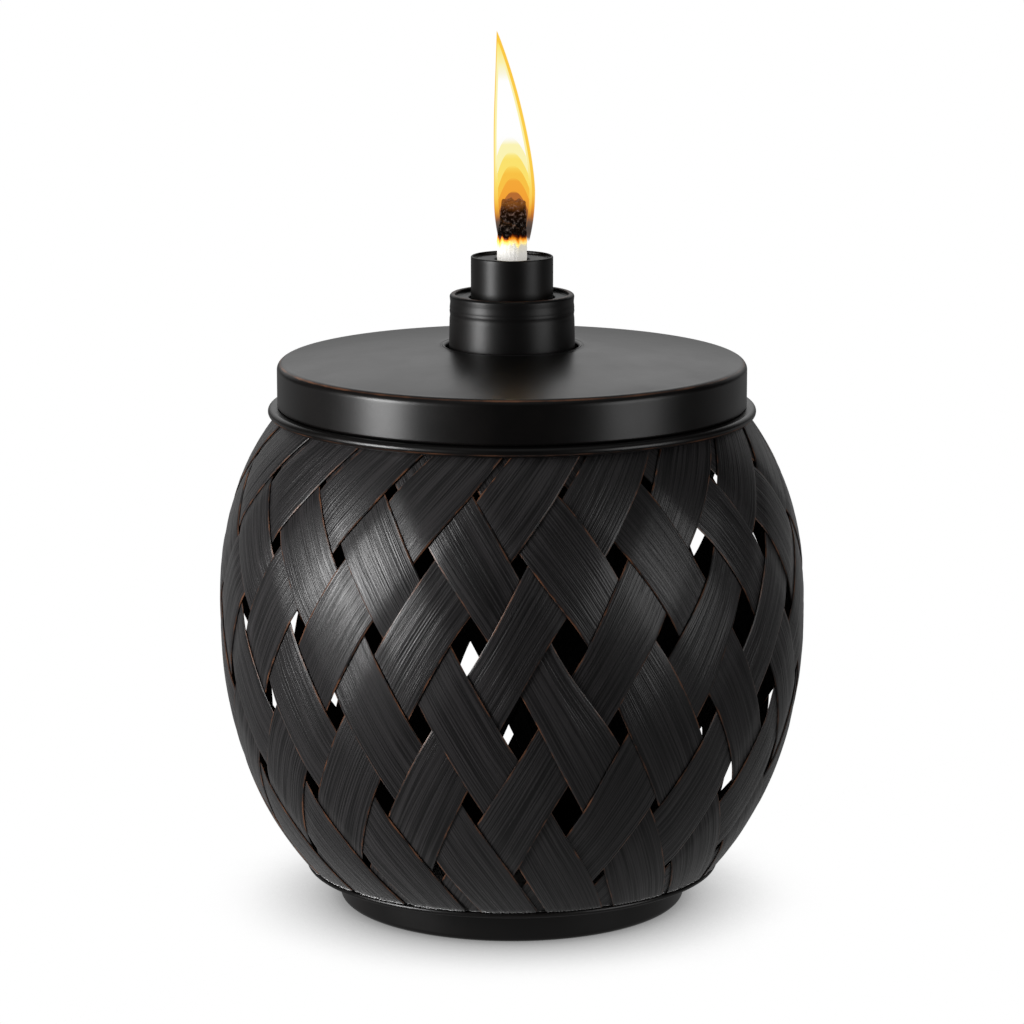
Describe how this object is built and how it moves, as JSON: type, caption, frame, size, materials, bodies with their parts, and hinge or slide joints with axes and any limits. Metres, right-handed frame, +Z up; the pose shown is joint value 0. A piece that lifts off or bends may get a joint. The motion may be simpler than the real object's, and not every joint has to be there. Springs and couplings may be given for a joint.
{
  "type": "tiki torch",
  "caption": "Table-top tiki torch: a barrel basket of diagonally woven black splints on a spun foot, with a lid, a hanging oil tank and a lit wick burner.",
  "frame": {"origin": "middle of the foot, in the plane it stands on", "axes": "+Z up the torch's axis, from the foot to the burner; +X and +Y level, with the front at -Y"},
  "size_m": [0.1798, 0.1798, 0.2682],
  "materials": {
    "bronzed_steel": "satin black-bronze, rubbed copper at the edges",
    "splint_bamboo": "black lacquer over split bamboo, brown at the edges",
    "tank_steel": "thin black wash over drawn steel, dull",
    "nitrile": "matte",
    "glass_fibre": "white braid, charred at its end",
    "flame_light": "glowing gas"
  },
  "bodies": {
    "basket": {"foot_dish": "bronzed_steel", "foot_hoop": "bronzed_steel", "splint_right_01": "splint_bamboo", "splint_right_02": "splint_bamboo", "splint_right_03": "splint_bamboo", "splint_right_04": "splint_bamboo", "splint_right_05": "splint_bamboo", "splint_right_06": "splint_bamboo", "splint_right_07": "splint_bamboo", "splint_right_08": "splint_bamboo", "splint_right_09": "splint_bamboo", "splint_right_10": "splint_bamboo", "splint_right_11": "splint_bamboo", "splint_right_12": "splint_bamboo", "splint_right_13": "splint_bamboo", "splint_right_14": "splint_bamboo", "splint_right_15": "splint_bamboo", "splint_right_16": "splint_bamboo", "splint_right_17": "splint_bamboo", "splint_right_18": "splint_bamboo", "splint_right_19": "splint_bamboo", "splint_right_20": "splint_bamboo", "splint_left_01": "splint_bamboo", "splint_left_02": "splint_bamboo", "splint_left_03": "splint_bamboo", "splint_left_04": "splint_bamboo", "splint_left_05": "splint_bamboo", "splint_left_06": "splint_bamboo", "splint_left_07": "splint_bamboo", "splint_left_08": "splint_bamboo", "splint_left_09": "splint_bamboo", "splint_left_10": "splint_bamboo", "splint_left_11": "splint_bamboo", "splint_left_12": "splint_bamboo", "splint_left_13": "splint_bamboo", "splint_left_14": "splint_bamboo", "splint_left_15": "splint_bamboo", "splint_left_16": "splint_bamboo", "splint_left_17": "splint_bamboo", "splint_left_18": "splint_bamboo", "splint_left_19": "splint_bamboo", "splint_left_20": "splint_bamboo", "rim_hoop": "bronzed_steel", "rim_band": "bronzed_steel"},
    "tank": {"tank_cup": "tank_steel", "tank_top": "tank_steel", "tank_neck": "tank_steel"},
    "lid": {"lid": "bronzed_steel"},
    "burner": {"neck_gasket": "nitrile", "wick_holder": "bronzed_steel", "wick_guide": "tank_steel"},
    "collar": {"burner_collar": "bronzed_steel"},
    "wick": {"wick": "glass_fibre", "flame": "flame_light"}
  },
  "joints": [
    {"name": "tank_lift", "type": "slide", "parent": "basket", "child": "tank", "axis": [0, 0, 1], "range_m": [0, 0.1]},
    {"name": "lid_lift", "type": "slide", "parent": "tank", "child": "lid", "axis": [0, 0, 1], "range_m": [0, 0.118]},
    {"name": "collar_screw", "type": "hinge", "parent": "burner", "child": "collar", "pos_m": [0, 0, 0.18], "axis": [0, 0, 1], "range_deg": [0, 540]},
    {"name": "burner_rise", "type": "slide", "parent": "tank", "child": "burner", "axis": [0, 0, 1], "range_m": [0, 0.00637]},
    {"name": "wick_height", "type": "slide", "parent": "burner", "child": "wick", "axis": [0, 0, 1], "range_m": [-0.0035, 0.012]}
  ],
  "couplings": [
    {"joint": "burner_rise", "follows": "collar_screw", "m_per_rad": 0.00067323}
  ]
}
